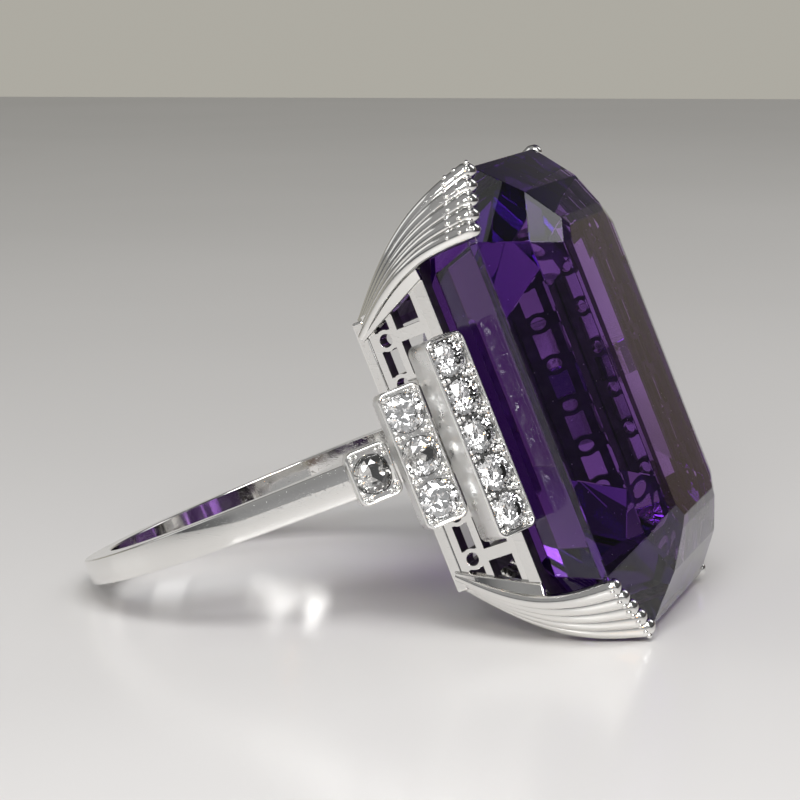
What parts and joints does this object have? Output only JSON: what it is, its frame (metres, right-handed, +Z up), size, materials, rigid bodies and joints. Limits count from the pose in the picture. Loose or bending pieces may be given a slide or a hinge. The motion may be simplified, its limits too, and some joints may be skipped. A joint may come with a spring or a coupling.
{
  "type": "cocktail ring",
  "caption": "Polished white-metal cocktail ring with a step-cut violet gem in a pierced basket, fluted corner claws and stepped diamond shoulders, lying on its side.",
  "frame": {"origin": "centre of the finger bore", "axes": "the ring lies on its side as it rests on a table: +Z is up, +X runs from the bore towards the gem, +Y runs across the band; the bore's axis leans back from +Z in the XZ plane"},
  "size_m": [0.0298, 0.0206, 0.0209],
  "materials": {
    "white_metal": "mirror-polished white precious metal with fine handling scratches",
    "setting_metal": "bright-cut and beaded white precious metal",
    "diamond": "clear round brilliant cut",
    "amethyst": "transparent deep violet step cut, polished facets"
  },
  "bodies": {
    "root": {"shank": "white_metal", "base_rail": "white_metal", "seat_rail": "white_metal", "gallery_wall_front": "white_metal", "gallery_wall_back": "white_metal", "gallery_wall_upper": "white_metal", "gallery_wall_lower": "white_metal", "claws_front_upper": "white_metal", "claws_front_lower": "white_metal", "claws_back_upper": "white_metal", "claws_back_lower": "white_metal", "collet_front": "setting_metal", "collet_back": "setting_metal", "three_stone_bar_front": "setting_metal", "three_stone_bar_back": "setting_metal", "five_stone_bar_front": "setting_metal", "five_stone_bar_back": "setting_metal", "grains_front": "setting_metal", "grains_back": "setting_metal", "collet_diamond_front": "diamond", "collet_diamond_back": "diamond", "three_bar_diamonds_front": "diamond", "three_bar_diamonds_back": "diamond", "five_bar_diamonds_front": "diamond", "five_bar_diamonds_back": "diamond", "amethyst": "amethyst"}
  },
  "joints": []
}
